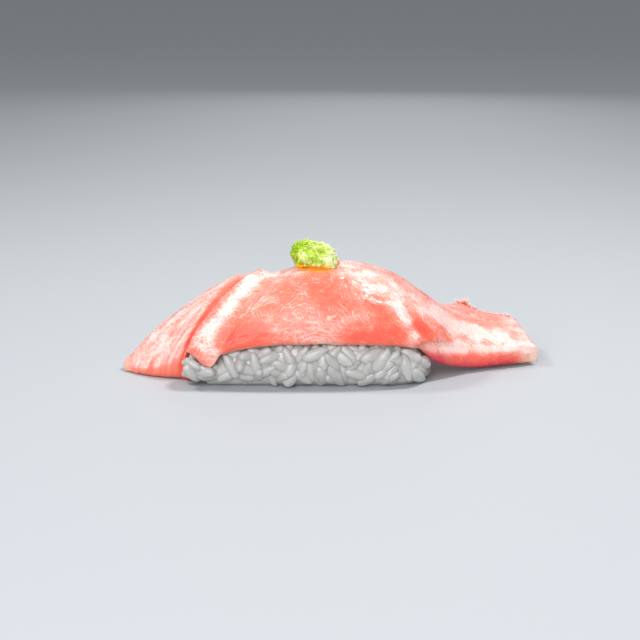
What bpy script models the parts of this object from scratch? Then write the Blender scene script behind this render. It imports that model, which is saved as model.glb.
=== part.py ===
"""Tuna nigiri: a slice of fatty tuna draped over a pressed block of rice, with a dab of grated wasabi.

X runs along the slice, -Y is the front and Z is up. The origin is the middle of the rice's
footprint, on the surface that the nigiri rests on. Sizes are in millimetres until finished() scales them.
"""

import math
import random
from collections import namedtuple

import bmesh
import bpy
from mathutils import Matrix, Vector, noise
from mathutils.bvhtree import BVHTree

MM = 0.001
GAP = 0.35
SEED = 7
RICE_COLOUR = (0.8, 0.79, 0.76)
SLICE_COLOUR = (0.85, 0.28, 0.22)
WASABI_COLOUR = (0.62, 0.72, 0.12)
RICE_ROUGHNESS = 0.35
SLICE_ROUGHNESS = 0.3
WASABI_ROUGHNESS = 0.45

# The rice block, before the slice presses it, and the line along its inside that its skin is measured from
RICE_MIDDLE = -1.1
RICE_LENGTH = 51.2
RICE_WIDTH = 24.0
RICE_HEIGHT = 24.0
RICE_AXIS_HEIGHT = 6.0
RICE_FOOT_DEPTH = 7.6
PRESS_GAP = 0.5
PRESS_REACH = 1.0
PRESS_TURN = math.radians(8.0)
RICE_END_SQUARENESS = 6.0
RICE_SIDE_SQUARENESS = 3.0
RICE_RINGS = 28
RICE_SEGMENTS = 20
SKIN_STEP = 0.01

# Boiled short grains, and how they sit in the skin of the block
GRAIN_LENGTH = 5.6
GRAIN_WIDTH = 3.1
GRAIN_THICKNESS = 2.6
GRAIN_SPACING = 2.65
GRAIN_TRIES = 6000
GRAIN_SIZE_SPREAD = 0.12
GRAIN_SINK = 0.22
GRAIN_TIP = 0.25
GRAIN_SIDES = 5
GRAIN_RINGS = 4
GRAIN_LOWEST_FACING = -0.7
GRAIN_FIT_TRIES = 5
GRAIN_FIT_DROP = 0.5
GRAIN_FIT_SHRINK = 0.94
GRAIN_HIDDEN_BELOW = 1.8

# The grains that spill out at the left under the slice's corner, and the room that they spill into
SPILL_LOW = Vector((-24.6, -12.4, 2.8))
SPILL_HIGH = Vector((-20.5, -10.2, 6.4))
SPILL_SPACING = 2.0
SPILL_TRIES = 400

# The slice's mesh: divisions along, across and down its cut edge
SLICE_DIVISIONS = (54, 18, 2)
EDGE_BULGE = 0.22
BLUNT_END = (0.9, 1.0)
BLUNT_END_BULGE = 0.3
FLOOR_CLEARANCE = 0.05
SLICE_WAVE_HEIGHT = 0.3
SLICE_WAVE_LENGTH = 13.0
FACING_STEP = 0.004
EDGE_STEP = 0.02

# How the slice's curves swell where it hangs, and where across it the cut edge's own direction takes over
HANG_SWELL = 0.57
EDGE_FADE = (0.3, 1.0)

# The rear hem, where the slice hangs: how far its edge tucks in, and how much thinner it gets
REAR_TUCK = 3.0
REAR_THINNING = 0.92

# The fold at the left shoulder, as shares of the slice's length: a valley with a rounded ridge beside it,
# both deepest on the front. A fade is where the form begins and where it is full, across the slice.
FRONT_FADE = (-0.45, 0.55)
VALLEY_FADE = (-0.9, 0.1)
VALLEY_REAR_SHARE = 0.25
VALLEY_AT = 0.335
VALLEY_WIDTH = 0.022
VALLEY_DEPTH = 1.2
RIDGE_AT = 0.385
RIDGE_WIDTH = 0.026
RIDGE_HEIGHT = 0.8

# The shallow crease where the slice leaves the rice on the right
CREASE_AT = 0.745
CREASE_WIDTH = 0.018
CREASE_DEPTH = 0.7
CREASE_FADE = (0.35, 0.8)

# The dab of wasabi
WASABI_AT = Vector((1.5, -0.6))
WASABI_HALF_SIZE = Vector((5.2, 4.2, 3.5))
WASABI_SQUARENESS = 2.1
WASABI_LEAN = 0.27
WASABI_LUMP = 1.1
WASABI_LUMP_SIZE = 2.6
WASABI_CRUMB = 0.6
WASABI_CRUMB_SIZE = 1.2
WASABI_LIFT = 0.7
WASABI_FINENESS = 4
HIGH_ABOVE = 50.0

# A rib is one crossing of the slice's upper face, from the front hem over the crest to the rear hem.
# fullness is 0 where it lies flat and 1 where it hangs round like a drape. thick is the slice's
# thickness at the crest, and cut is how far its cut edge runs inwards and down at the hems.
Rib = namedtuple("Rib", "crest front rear fullness thick cut")

RIBS = (
    Rib((-40.6, 1.5, 1.8), (-40.0, -0.6, 1.4), (-39.6, 3.8, 1.4), 0.3, 1.5, (0.1, 1.3)),
    Rib((-34.0, 1.8, 8.5), (-35.8, -3.8, 2.2), (-33.5, 8.0, 3.6), 0.4, 4.6, (0.4, 2.0)),
    Rib((-26.0, 1.5, 14.7), (-31.0, -6.2, 4.2), (-26.5, 11.2, 7.0), 0.5, 5.2, (0.8, 4.0)),
    Rib((-17.5, 1.0, 20.3), (-27.6, -7.2, 7.2), (-20.0, 13.0, 9.2), 0.6, 5.2, (0.9, 6.8)),
    Rib((-10.6, 0.6, 22.6), (-25.9, -8.0, 8.8), (-13.5, 13.8, 9.6), 0.7, 4.8, (0.6, 8.2)),
    Rib((-8.0, 0.3, 21.5), (-24.5, -12.2, 8.1), (-9.4, 14.2, 9.3), 0.9, 4.8, (3.0, 0.9)),
    Rib((-5.0, 0.0, 22.2), (-20.7, -14.0, 5.2), (-5.8, 14.4, 9.2), 1.0, 5.0, (3.0, 0.4)),
    Rib((-2.2, 0.0, 23.4), (-18.0, -14.2, 8.0), (-2.8, 14.4, 9.2), 1.0, 5.0, (3.0, 0.3)),
    Rib((3.0, 0.0, 24.7), (-10.5, -14.3, 9.8), (2.0, 14.4, 9.2), 1.0, 5.0, (3.0, 0.3)),
    Rib((10.0, 0.0, 24.1), (3.5, -14.3, 10.3), (10.0, 14.5, 9.6), 1.0, 5.0, (3.0, 0.3)),
    Rib((18.0, 0.8, 21.6), (15.0, -13.8, 10.0), (18.0, 14.8, 9.4), 1.0, 5.0, (3.0, 0.4)),
    Rib((24.4, 2.3, 17.3), (23.2, -12.2, 9.1), (25.0, 15.4, 9.7), 0.9, 5.0, (3.0, 0.7)),
    Rib((28.0, 3.4, 14.3), (27.4, -9.2, 9.2), (29.5, 15.9, 9.7), 0.6, 5.6, (4.4, 5.6)),
    Rib((31.6, 5.0, 11.7), (30.6, -5.4, 7.4), (33.6, 16.2, 11.5), 0.3, 6.0, (0.8, 4.9)),
    Rib((38.0, 8.0, 9.0), (37.0, -0.6, 5.8), (39.0, 16.8, 9.8), 0.1, 5.6, (0.3, 4.9)),
    Rib((48.6, 10.5, 6.7), (50.3, 4.0, 5.1), (47.3, 17.0, 7.7), 0.1, 4.4, (0.3, 4.2)),
)


def rib_places():
    """Returns each rib's place along the crest, as a share of the crest's length."""
    places = [0.0]
    for last, rib in zip(RIBS, RIBS[1:]):
        places.append(places[-1] + (Vector(rib.crest) - Vector(last.crest)).length)
    return [place / places[-1] for place in places]


PLACES = rib_places()


def hermite(start, end, leaving, arriving, u):
    """Returns the point at share u of the cubic with these ends and these tangents."""
    u2, u3 = u * u, u * u * u
    return (
        start * (2 * u3 - 3 * u2 + 1)
        + leaving * (u3 - 2 * u2 + u)
        + end * (3 * u2 - 2 * u3)
        + arriving * (u3 - u2)
    )


def along(field, s):
    """Returns a field of the ribs at share s of the crest's length, on a smooth curve through them all."""
    last = len(RIBS) - 1
    values = [getattr(rib, field) for rib in RIBS]
    values = [Vector(v) if isinstance(v, tuple) else v for v in values]
    i = min(max(j for j in range(last) if PLACES[j] <= s or j == 0), last - 1)
    span = PLACES[i + 1] - PLACES[i]

    def slope(j):
        low, high = max(j - 1, 0), min(j + 1, last)
        return (values[high] - values[low]) / (PLACES[high] - PLACES[low])

    return hermite(values[i], values[i + 1], slope(i) * span, slope(i + 1) * span, (s - PLACES[i]) / span)


def bell(distance, width):
    """Returns a smooth hump of height 1 and this width."""
    return math.exp(-((distance / width) ** 2))


def rise(a, low, high):
    """Returns 0 below low and 1 above high, with a smooth step between."""
    u = min(max((a - low) / (high - low), 0.0), 1.0)
    return u * u * (3 - 2 * u)


def drape(s, t):
    """Returns the smooth upper face at share s along and t across, -1 at the front and 1 at the rear."""
    crest, front, rear = (along(name, s) for name in ("crest", "front", "rear"))
    fullness = along("fullness", s)
    hem, way = (rear, 1) if t > 0 else (front, -1)
    reach = hem - crest
    swell = 1 + HANG_SWELL * fullness
    over = (rear - front) / 2 * way
    leaving = Vector((reach.x, over.y * swell, over.z))
    arriving = Vector((reach.x, reach.y * (1 - fullness), reach.z * swell))
    return hermite(crest, hem, leaving, arriving, abs(t))


def relief(s, t):
    """Returns how far the fold, the crease and the slow waves lift the upper face."""
    front = rise(-t, *FRONT_FADE)
    valley = (VALLEY_REAR_SHARE + (1 - VALLEY_REAR_SHARE) * front) * rise(-t, *VALLEY_FADE)
    lift = RIDGE_HEIGHT * front * bell(s - RIDGE_AT, RIDGE_WIDTH)
    lift -= VALLEY_DEPTH * valley * bell(s - VALLEY_AT, VALLEY_WIDTH)
    lift -= CREASE_DEPTH * rise(-t, *CREASE_FADE) * bell(s - CREASE_AT, CREASE_WIDTH)
    wave = noise.noise(drape(s, t) / SLICE_WAVE_LENGTH)
    return lift + SLICE_WAVE_HEIGHT * wave


def facing(s, t):
    """Returns the upper face's outward direction."""
    s = min(max(s, FACING_STEP), 1 - FACING_STEP)
    t = min(max(t, FACING_STEP - 1), 1 - FACING_STEP)
    run = drape(s + FACING_STEP, t) - drape(s - FACING_STEP, t)
    across = drape(s, t + FACING_STEP) - drape(s, t - FACING_STEP)
    return run.cross(across).normalized()


def cut_edge(s, t):
    """Returns the way down the cut edge at the front or the rear hem."""
    if t < 0:
        inwards, down = along("cut", s)
        return Vector((0.0, inwards, -down))
    fullness = along("fullness", s)
    return Vector((0.0, -REAR_TUCK * fullness, -along("thick", s) * (1 - REAR_THINNING * fullness)))


def slice_point(s, t, depth):
    """Returns the slice's point at depth 0 on its upper face to 1 on its lower face."""
    edge = rise(abs(t), *EDGE_FADE)
    fullness = along("fullness", s)
    inward = -facing(s, t).lerp(Vector((0.0, 0.0, 1.0)), 1 - fullness).normalized()
    through = inward * along("thick", s) * (1 - edge) + cut_edge(s, t) * edge
    point = drape(s, t) + facing(s, t) * relief(s, t) + through * depth
    point.z = max(point.z, FLOOR_CLEARANCE)
    return point


def edge_way(s, t):
    """Returns the direction in which the slice ends at a point of its outline."""
    inner = drape(min(max(s, EDGE_STEP), 1 - EDGE_STEP), min(max(t, EDGE_STEP - 1), 1 - EDGE_STEP))
    return (drape(s, t) - inner).normalized()


def finished(name, bm, colour, roughness):
    """Makes the object of a bmesh whose sizes are in millimetres."""
    bmesh.ops.recalc_face_normals(bm, faces=bm.faces)
    bmesh.ops.scale(bm, vec=(MM, MM, MM), verts=bm.verts)
    mesh = bpy.data.meshes.new(name)
    bm.to_mesh(mesh)
    bm.free()
    mesh.shade_smooth()
    material = bpy.data.materials.new(name)
    material.use_nodes = True
    shader = material.node_tree.nodes["Principled BSDF"]
    shader.inputs["Base Color"].default_value = (*colour, 1.0)
    shader.inputs["Roughness"].default_value = roughness
    shader.inputs["Metallic"].default_value = 0.0
    mesh.materials.append(material)
    obj = bpy.data.objects.new(name, mesh)
    bpy.context.scene.collection.objects.link(obj)
    return obj


def slice_mesh():
    """The slice: a grid laid over the ribs, extruded to its lower face, with a rounded cut edge."""
    long, wide, deep = SLICE_DIVISIONS
    bm = bmesh.new()
    bmesh.ops.create_grid(bm, x_segments=long, y_segments=wide, size=1)
    grown = bmesh.ops.extrude_face_region(bm, geom=bm.faces[:])["geom"]
    upper = {item for item in grown if isinstance(item, bmesh.types.BMVert)}
    walls = [e for e in bm.edges if (e.verts[0] in upper) != (e.verts[1] in upper)]
    for vert in upper:
        vert.co.z = 1.0
    bmesh.ops.subdivide_edges(bm, edges=walls, cuts=deep - 1)
    for vert in bm.verts:
        s = min(max((vert.co.x + 1) / 2, 0.0), 1.0)
        t = min(max(vert.co.y, -1.0), 1.0)
        depth = 1 - vert.co.z
        point = slice_point(s, t, depth)
        if 0 < depth < 1:
            thickness = (slice_point(s, t, 0) - slice_point(s, t, 1)).length
            bulge = EDGE_BULGE * (1 - (1 - BLUNT_END_BULGE) * rise(s, *BLUNT_END))
            point += edge_way(s, t) * bulge * thickness * math.sin(depth * math.pi)
        vert.co = point
    bmesh.ops.triangulate(bm, faces=bm.faces[:])
    bmesh.ops.recalc_face_normals(bm, faces=bm.faces)
    return bm


def block_reach(x, angle):
    """Returns how far the loose block's skin is from its axis, at place x and this angle round the axis."""
    end = max(1 - abs(2 * (x - RICE_MIDDLE) / RICE_LENGTH) ** RICE_END_SQUARENESS, 0.0)
    end **= 1 / RICE_END_SQUARENESS
    across, up = math.cos(angle), math.sin(angle)
    tall = RICE_HEIGHT - RICE_AXIS_HEIGHT if up > 0 else RICE_FOOT_DEPTH
    shape = abs(across / (RICE_WIDTH / 2)) ** RICE_SIDE_SQUARENESS + abs(up / tall) ** RICE_SIDE_SQUARENESS
    return end * shape ** (-1 / RICE_SIDE_SQUARENESS)


def core_point(x, angle, slice_tree):
    """Returns the core's skin at place x and this angle, pressed in where the slice lies on it."""
    reach = block_reach(x, angle)
    for beside in (-PRESS_REACH, 0.0, PRESS_REACH):
        for turned in (-PRESS_TURN, 0.0, PRESS_TURN):
            axis = Vector((x + beside, 0.0, RICE_AXIS_HEIGHT))
            way = Vector((0.0, math.cos(angle + turned), math.sin(angle + turned)))
            hit = slice_tree.ray_cast(axis, way)[3]
            if hit is not None:
                reach = min(reach, hit - PRESS_GAP)
    z = RICE_AXIS_HEIGHT + reach * math.sin(angle)
    return Vector((x, reach * math.cos(angle), max(z, 0.0)))


def core_mesh(slice_tree):
    """The rice's core: a sphere drawn out to the block, pressed under the slice and flat underneath."""
    bm = bmesh.new()
    bmesh.ops.create_uvsphere(bm, u_segments=RICE_SEGMENTS, v_segments=RICE_RINGS, radius=1)
    for vert in bm.verts:
        x = RICE_MIDDLE + vert.co.z * RICE_LENGTH / 2
        vert.co = core_point(x, math.atan2(vert.co.y, vert.co.x), slice_tree)
    bmesh.ops.triangulate(bm, faces=bm.faces[:])
    bmesh.ops.recalc_face_normals(bm, faces=bm.faces)
    return bm


def grain_mesh(place, turn, size, swell=0.0):
    """One boiled grain: a long rounded body, slightly flat, at a place in the skin of the block."""
    bm = bmesh.new()
    bmesh.ops.create_uvsphere(bm, u_segments=GRAIN_SIDES, v_segments=GRAIN_RINGS, radius=1)
    half = Vector((GRAIN_WIDTH, GRAIN_THICKNESS, GRAIN_LENGTH)) * size / 2 + Vector((swell, swell, swell))
    body = Matrix.Translation(place) @ turn @ Matrix.Diagonal(half).to_4x4()
    bmesh.ops.transform(bm, matrix=body, verts=bm.verts)
    return bm


def grain_bottom(place, turn, size):
    """Returns the height of a grain's lowest point."""
    body = grain_mesh(place, turn, size)
    lowest = min(vert.co.z for vert in body.verts)
    body.free()
    return lowest


def crosses_slice(place, turn, size, slice_tree):
    """Tells whether a grain comes nearer to the slice than the gap."""
    body = grain_mesh(place, turn, size, GAP)
    crosses = BVHTree.FromBMesh(body).overlap(slice_tree)
    body.free()
    return bool(crosses)


def grain_turn(normal, rng):
    """Returns a turn that lays a grain along the skin, pointing any way in it."""
    side = normal.cross(Vector((rng.uniform(-1, 1), rng.uniform(-1, 1), rng.uniform(-1, 1)))).normalized()
    tipped = (side + normal * rng.uniform(-GRAIN_TIP, GRAIN_TIP)).normalized()
    other = normal.cross(tipped).normalized()
    flat = tipped.cross(other)
    return Matrix((other, flat, tipped)).transposed().to_4x4()


def grain_list(slice_tree):
    """Returns the grains that show: spread evenly over the skin, on the surface and clear of the slice."""
    rng = random.Random(SEED)
    half_length = RICE_LENGTH / 2 - SKIN_STEP
    kept = []
    for _ in range(GRAIN_TRIES):
        x = RICE_MIDDLE + math.sin(rng.uniform(-1, 1) * math.pi / 2) * half_length
        angle = rng.uniform(-math.pi, math.pi)
        spot = core_point(x, angle, slice_tree)
        run = core_point(x + SKIN_STEP, angle, slice_tree) - core_point(x - SKIN_STEP, angle, slice_tree)
        across = core_point(x, angle + SKIN_STEP, slice_tree) - core_point(x, angle - SKIN_STEP, slice_tree)
        normal = across.cross(run).normalized()
        turn = grain_turn(normal, rng)
        size = 1 + rng.uniform(-GRAIN_SIZE_SPREAD, GRAIN_SIZE_SPREAD)
        if normal.z < GRAIN_LOWEST_FACING:
            continue
        if slice_tree.ray_cast(spot, normal, GRAIN_HIDDEN_BELOW)[0] is not None:
            continue
        place = spot + normal * GRAIN_THICKNESS * size * (0.5 - GRAIN_SINK)
        for _ in range(GRAIN_FIT_TRIES):
            place.z += max(0.0, -grain_bottom(place, turn, size))
            if any((place - other).length < GRAIN_SPACING for other, _, _ in kept):
                break
            if not crosses_slice(place, turn, size, slice_tree):
                kept.append((place, turn, size))
                break
            place = place - Vector((0.0, 0.0, GRAIN_FIT_DROP))
            size *= GRAIN_FIT_SHRINK
    for _ in range(SPILL_TRIES):
        place = Vector([rng.uniform(low, high) for low, high in zip(SPILL_LOW, SPILL_HIGH)])
        turn = grain_turn(Vector((0.0, -1.0, 0.0)), rng)
        size = 1 + rng.uniform(-GRAIN_SIZE_SPREAD, GRAIN_SIZE_SPREAD)
        place.z += max(0.0, -grain_bottom(place, turn, size))
        if any((place - other).length < SPILL_SPACING for other, _, _ in kept):
            continue
        if not crosses_slice(place, turn, size, slice_tree):
            kept.append((place, turn, size))
    return kept


def largest_body(obj):
    """Leaves only the largest body of a mesh: no loose scraps, and no shells of hollows inside."""
    bm = bmesh.new()
    bm.from_mesh(obj.data)
    left, bodies = set(bm.verts), []
    while left:
        body, reach = set(), [left.pop()]
        while reach:
            vert = reach.pop()
            body.add(vert)
            for edge in vert.link_edges:
                other = edge.other_vert(vert)
                if other in left:
                    left.remove(other)
                    reach.append(other)
        bodies.append(body)
    bodies.sort(key=len)
    bmesh.ops.delete(bm, geom=[vert for body in bodies[:-1] for vert in body], context="VERTS")
    bm.to_mesh(obj.data)
    bm.free()


def make_rice(slice_tree):
    """The rice: the pressed core and the grains that show, joined into one solid."""
    core = core_mesh(slice_tree)
    grains = grain_list(slice_tree)
    rice = finished("rice", core, RICE_COLOUR, RICE_ROUGHNESS)
    loose = bpy.data.collections.new("loose_grains")
    bpy.context.scene.collection.children.link(loose)
    for number, grain in enumerate(grains):
        obj = finished(f"grain_{number}", grain_mesh(*grain), RICE_COLOUR, RICE_ROUGHNESS)
        bpy.context.scene.collection.objects.unlink(obj)
        loose.objects.link(obj)
    join = rice.modifiers.new("join", "BOOLEAN")
    join.operation = "UNION"
    join.operand_type = "COLLECTION"
    join.collection = loose
    join.solver = "EXACT"
    with bpy.context.temp_override(object=rice):
        bpy.ops.object.modifier_apply(modifier=join.name)
    for obj in list(loose.objects):
        bpy.data.objects.remove(obj)
    bpy.data.collections.remove(loose)
    largest_body(rice)


def make_wasabi(slice_tree):
    """The dab of grated wasabi: a lumpy mound, upright on the left, that follows the slice under it."""
    down = Vector((0.0, 0.0, -1.0))
    top = slice_tree.ray_cast(Vector((*WASABI_AT, HIGH_ABOVE)), down)[0].z
    centre = Vector((*WASABI_AT, top + WASABI_LIFT))
    bm = bmesh.new()
    bmesh.ops.create_icosphere(bm, subdivisions=WASABI_FINENESS, radius=1)
    for vert in bm.verts:
        way = vert.co.normalized()
        shape = sum(abs(part) ** WASABI_SQUARENESS for part in way) ** (-1 / WASABI_SQUARENESS)
        out = way * WASABI_HALF_SIZE * shape
        lump = WASABI_LUMP * noise.noise((centre + out) / WASABI_LUMP_SIZE)
        crumb = WASABI_CRUMB * noise.noise((centre + out) / WASABI_CRUMB_SIZE)
        point = centre + out + way * (lump + crumb)
        point.z -= WASABI_LEAN * out.x
        ground = slice_tree.ray_cast(Vector((point.x, point.y, HIGH_ABOVE)), down)[0].z
        point.z = max(point.z, ground + GAP)
        vert.co = point
    finished("wasabi", bm, WASABI_COLOUR, WASABI_ROUGHNESS)


def main():
    """Builds the slice first, because the rice and the wasabi are both shaped by it."""
    for obj in list(bpy.data.objects):
        bpy.data.objects.remove(obj)
    bm = slice_mesh()
    slice_tree = BVHTree.FromBMesh(bm)
    make_rice(slice_tree)
    make_wasabi(slice_tree)
    finished("tuna_slice", bm, SLICE_COLOUR, SLICE_ROUGHNESS)


main()
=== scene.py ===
"""Tuna nigiri, dressed: a marbled slice of fatty tuna over boiled rice, with a dab of grated wasabi."""

import logging
import math
import random
from dataclasses import dataclass, field
from enum import Enum
from functools import lru_cache

import bmesh
import bpy
from mathutils import Matrix, Vector, noise
from mathutils.bvhtree import BVHTree


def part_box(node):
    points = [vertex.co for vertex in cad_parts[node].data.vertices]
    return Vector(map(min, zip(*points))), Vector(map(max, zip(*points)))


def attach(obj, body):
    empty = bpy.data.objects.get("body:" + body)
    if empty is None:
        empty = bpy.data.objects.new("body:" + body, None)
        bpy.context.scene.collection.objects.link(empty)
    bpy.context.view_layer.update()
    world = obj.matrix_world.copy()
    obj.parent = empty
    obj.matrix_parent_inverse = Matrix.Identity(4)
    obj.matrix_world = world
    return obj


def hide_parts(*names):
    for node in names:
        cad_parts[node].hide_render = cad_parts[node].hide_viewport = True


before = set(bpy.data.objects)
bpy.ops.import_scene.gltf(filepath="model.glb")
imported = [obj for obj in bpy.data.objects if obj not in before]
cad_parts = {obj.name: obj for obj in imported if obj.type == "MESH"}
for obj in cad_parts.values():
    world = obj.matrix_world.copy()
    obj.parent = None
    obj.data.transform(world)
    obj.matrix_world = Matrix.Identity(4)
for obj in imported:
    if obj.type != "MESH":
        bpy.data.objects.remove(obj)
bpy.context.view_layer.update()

MM = 0.001
log = logging.getLogger("nigiri")

Socket = bpy.types.NodeSocket
Layer = bmesh.types.BMLayerItem
Point = tuple[float, float, float]
Step = tuple[float, float]

# A step that every place is past, and the step from the crest to the front that the photo shows.
ALWAYS = (-3.0, -2.0)
FRONT = (0.0, -0.5)

# The settings of the nodes that multiply and add, and that mix two colours.
ADD = {"operation": "MULTIPLY_ADD"}
MIX = {"data_type": "RGBA"}


class Piece(Enum):
    """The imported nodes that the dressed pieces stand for."""

    RICE = "rice"
    SLICE = "tuna_slice"
    WASABI = "wasabi"


@lru_cache(maxsize=None)
def linear(hex_colour: str) -> tuple[float, float, float, float]:
    """Turns an sRGB hex colour into linear light.

    Args:
        hex_colour: Six hex digits, red first.

    Returns:
        The linear red, green, blue and an alpha of 1.
    """
    parts = [int(hex_colour[i : i + 2], 16) / 255 for i in (0, 2, 4)]
    red, green, blue = (p / 12.92 if p <= 0.04045 else ((p + 0.055) / 1.055) ** 2.4 for p in parts)
    return (red, green, blue, 1.0)


def rise(a: float, low: float, high: float) -> float:
    """Steps smoothly from 0 at low to 1 at high, which may be the lower number of the two."""
    u = min(max((a - low) / (high - low), 0.0), 1.0)
    return u * u * (3 - 2 * u)


def closer_at_ends(a: float) -> float:
    """Returns a number from -1 to 1 moved, so that even steps become finer near both ends."""
    return round(min(max(0.4 * a + 0.6 * math.sin(a * math.pi / 2), -1.0), 1.0), 6)


def bell(distance: float, width: float) -> float:
    """Returns a smooth hump of height 1 and this width."""
    return math.exp(-((distance / width) ** 2))


def add_node(
    tree: bpy.types.NodeTree,
    kind: str,
    output: str | int,
    settings: dict | None = None,
    inputs: dict | None = None,
) -> Socket:
    """Adds one node to a material.

    Args:
        tree: The material's node tree.
        kind: The shader node's type, such as Math.
        output: The name or number of the output that is wanted.
        settings: The node's own properties.
        inputs: For each input's name or number, a socket to link or a value to set.

    Returns:
        That output.
    """
    node = tree.nodes.new("ShaderNode" + kind)
    for name, value in (settings or {}).items():
        setattr(node, name, value)
    for name, value in (inputs or {}).items():
        if isinstance(value, Socket):
            tree.links.new(value, node.inputs[name])
        else:
            node.inputs[name].default_value = value
    return node.outputs[output]


def new_material(name: str, values: dict) -> tuple[bpy.types.Material, bpy.types.NodeTree, bpy.types.Node]:
    """Starts a material.

    Args:
        name: What the real one is.
        values: What its shader's own sockets say.

    Returns:
        The material, its node tree and its shader.
    """
    material = bpy.data.materials.new(name)
    material.use_nodes = True
    tree = material.node_tree
    shader = tree.nodes["Principled BSDF"]
    for socket, value in values.items():
        shader.inputs[socket].default_value = value
    return material, tree, shader


def mesh_of(name: str, bm: bmesh.types.BMesh) -> bpy.types.Mesh:
    """Turns a bmesh into a mesh and frees it."""
    mesh = bpy.data.meshes.new(name)
    bm.to_mesh(mesh)
    bm.free()
    return mesh


def add_object(name: str, data: bpy.types.ID) -> bpy.types.Object:
    """Adds an object to the scene."""
    obj = bpy.data.objects.new(name, data)
    bpy.context.scene.collection.objects.link(obj)
    return obj


def finish_piece(name: str, bm: bmesh.types.BMesh, material: bpy.types.Material, piece: Piece) -> None:
    """Makes the object of a mesh in millimetres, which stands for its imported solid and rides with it.

    Args:
        name: The object's name.
        bm: The mesh, which is freed.
        material: Its finish.
        piece: The node that it stands for.
    """
    bmesh.ops.recalc_face_normals(bm, faces=bm.faces)
    bmesh.ops.scale(bm, vec=(MM, MM, MM), verts=bm.verts)
    mesh = mesh_of(name, bm)
    mesh.shade_smooth()
    mesh.materials.append(material)
    obj = add_object(name, mesh)
    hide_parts(piece.value)
    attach(obj, "root")
    log.info("%s: %d faces", name, len(mesh.polygons))


@dataclass(frozen=True)
class Rib:
    """One crossing of the slice's upper face (mm), from the front hem over the crest to the rear hem."""

    crest: Point
    front: Point
    rear: Point
    fullness: float
    thick: float
    cut: Step

    def numbers(self) -> Vector:
        """Returns all the rib's numbers in one row, so that one curve runs through them together."""
        return Vector((*self.crest, *self.front, *self.rear, self.fullness, self.thick, *self.cut))


@dataclass(frozen=True)
class Station:
    """The slice's section at one place along it, in millimetres."""

    crest: Vector
    front: Vector
    rear: Vector
    fullness: float
    thick: float
    cut: Vector


@dataclass(frozen=True)
class Patch:
    """A place where the flesh is fatter or leaner, in millimetres along and up the front view; some fat
    patches are painted highlights.
    """

    start: Step
    end: Step
    width: float
    amount: float

    def weight(self, x: float, up: float) -> float:
        """Works out how strong the patch is at a place.

        Args:
            x: Along the slice.
            up: Up the front view.

        Returns:
            The patch's amount near its line from start to end, fading over its width.
        """
        ax, ay = self.start
        bx, by = self.end[0] - ax, self.end[1] - ay
        length = bx * bx + by * by
        u = min(max(((x - ax) * bx + (up - ay) * by) / length, 0.0), 1.0) if length else 0.0
        return self.amount * bell(math.hypot(x - ax - bx * u, up - ay - by * u), self.width)


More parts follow.
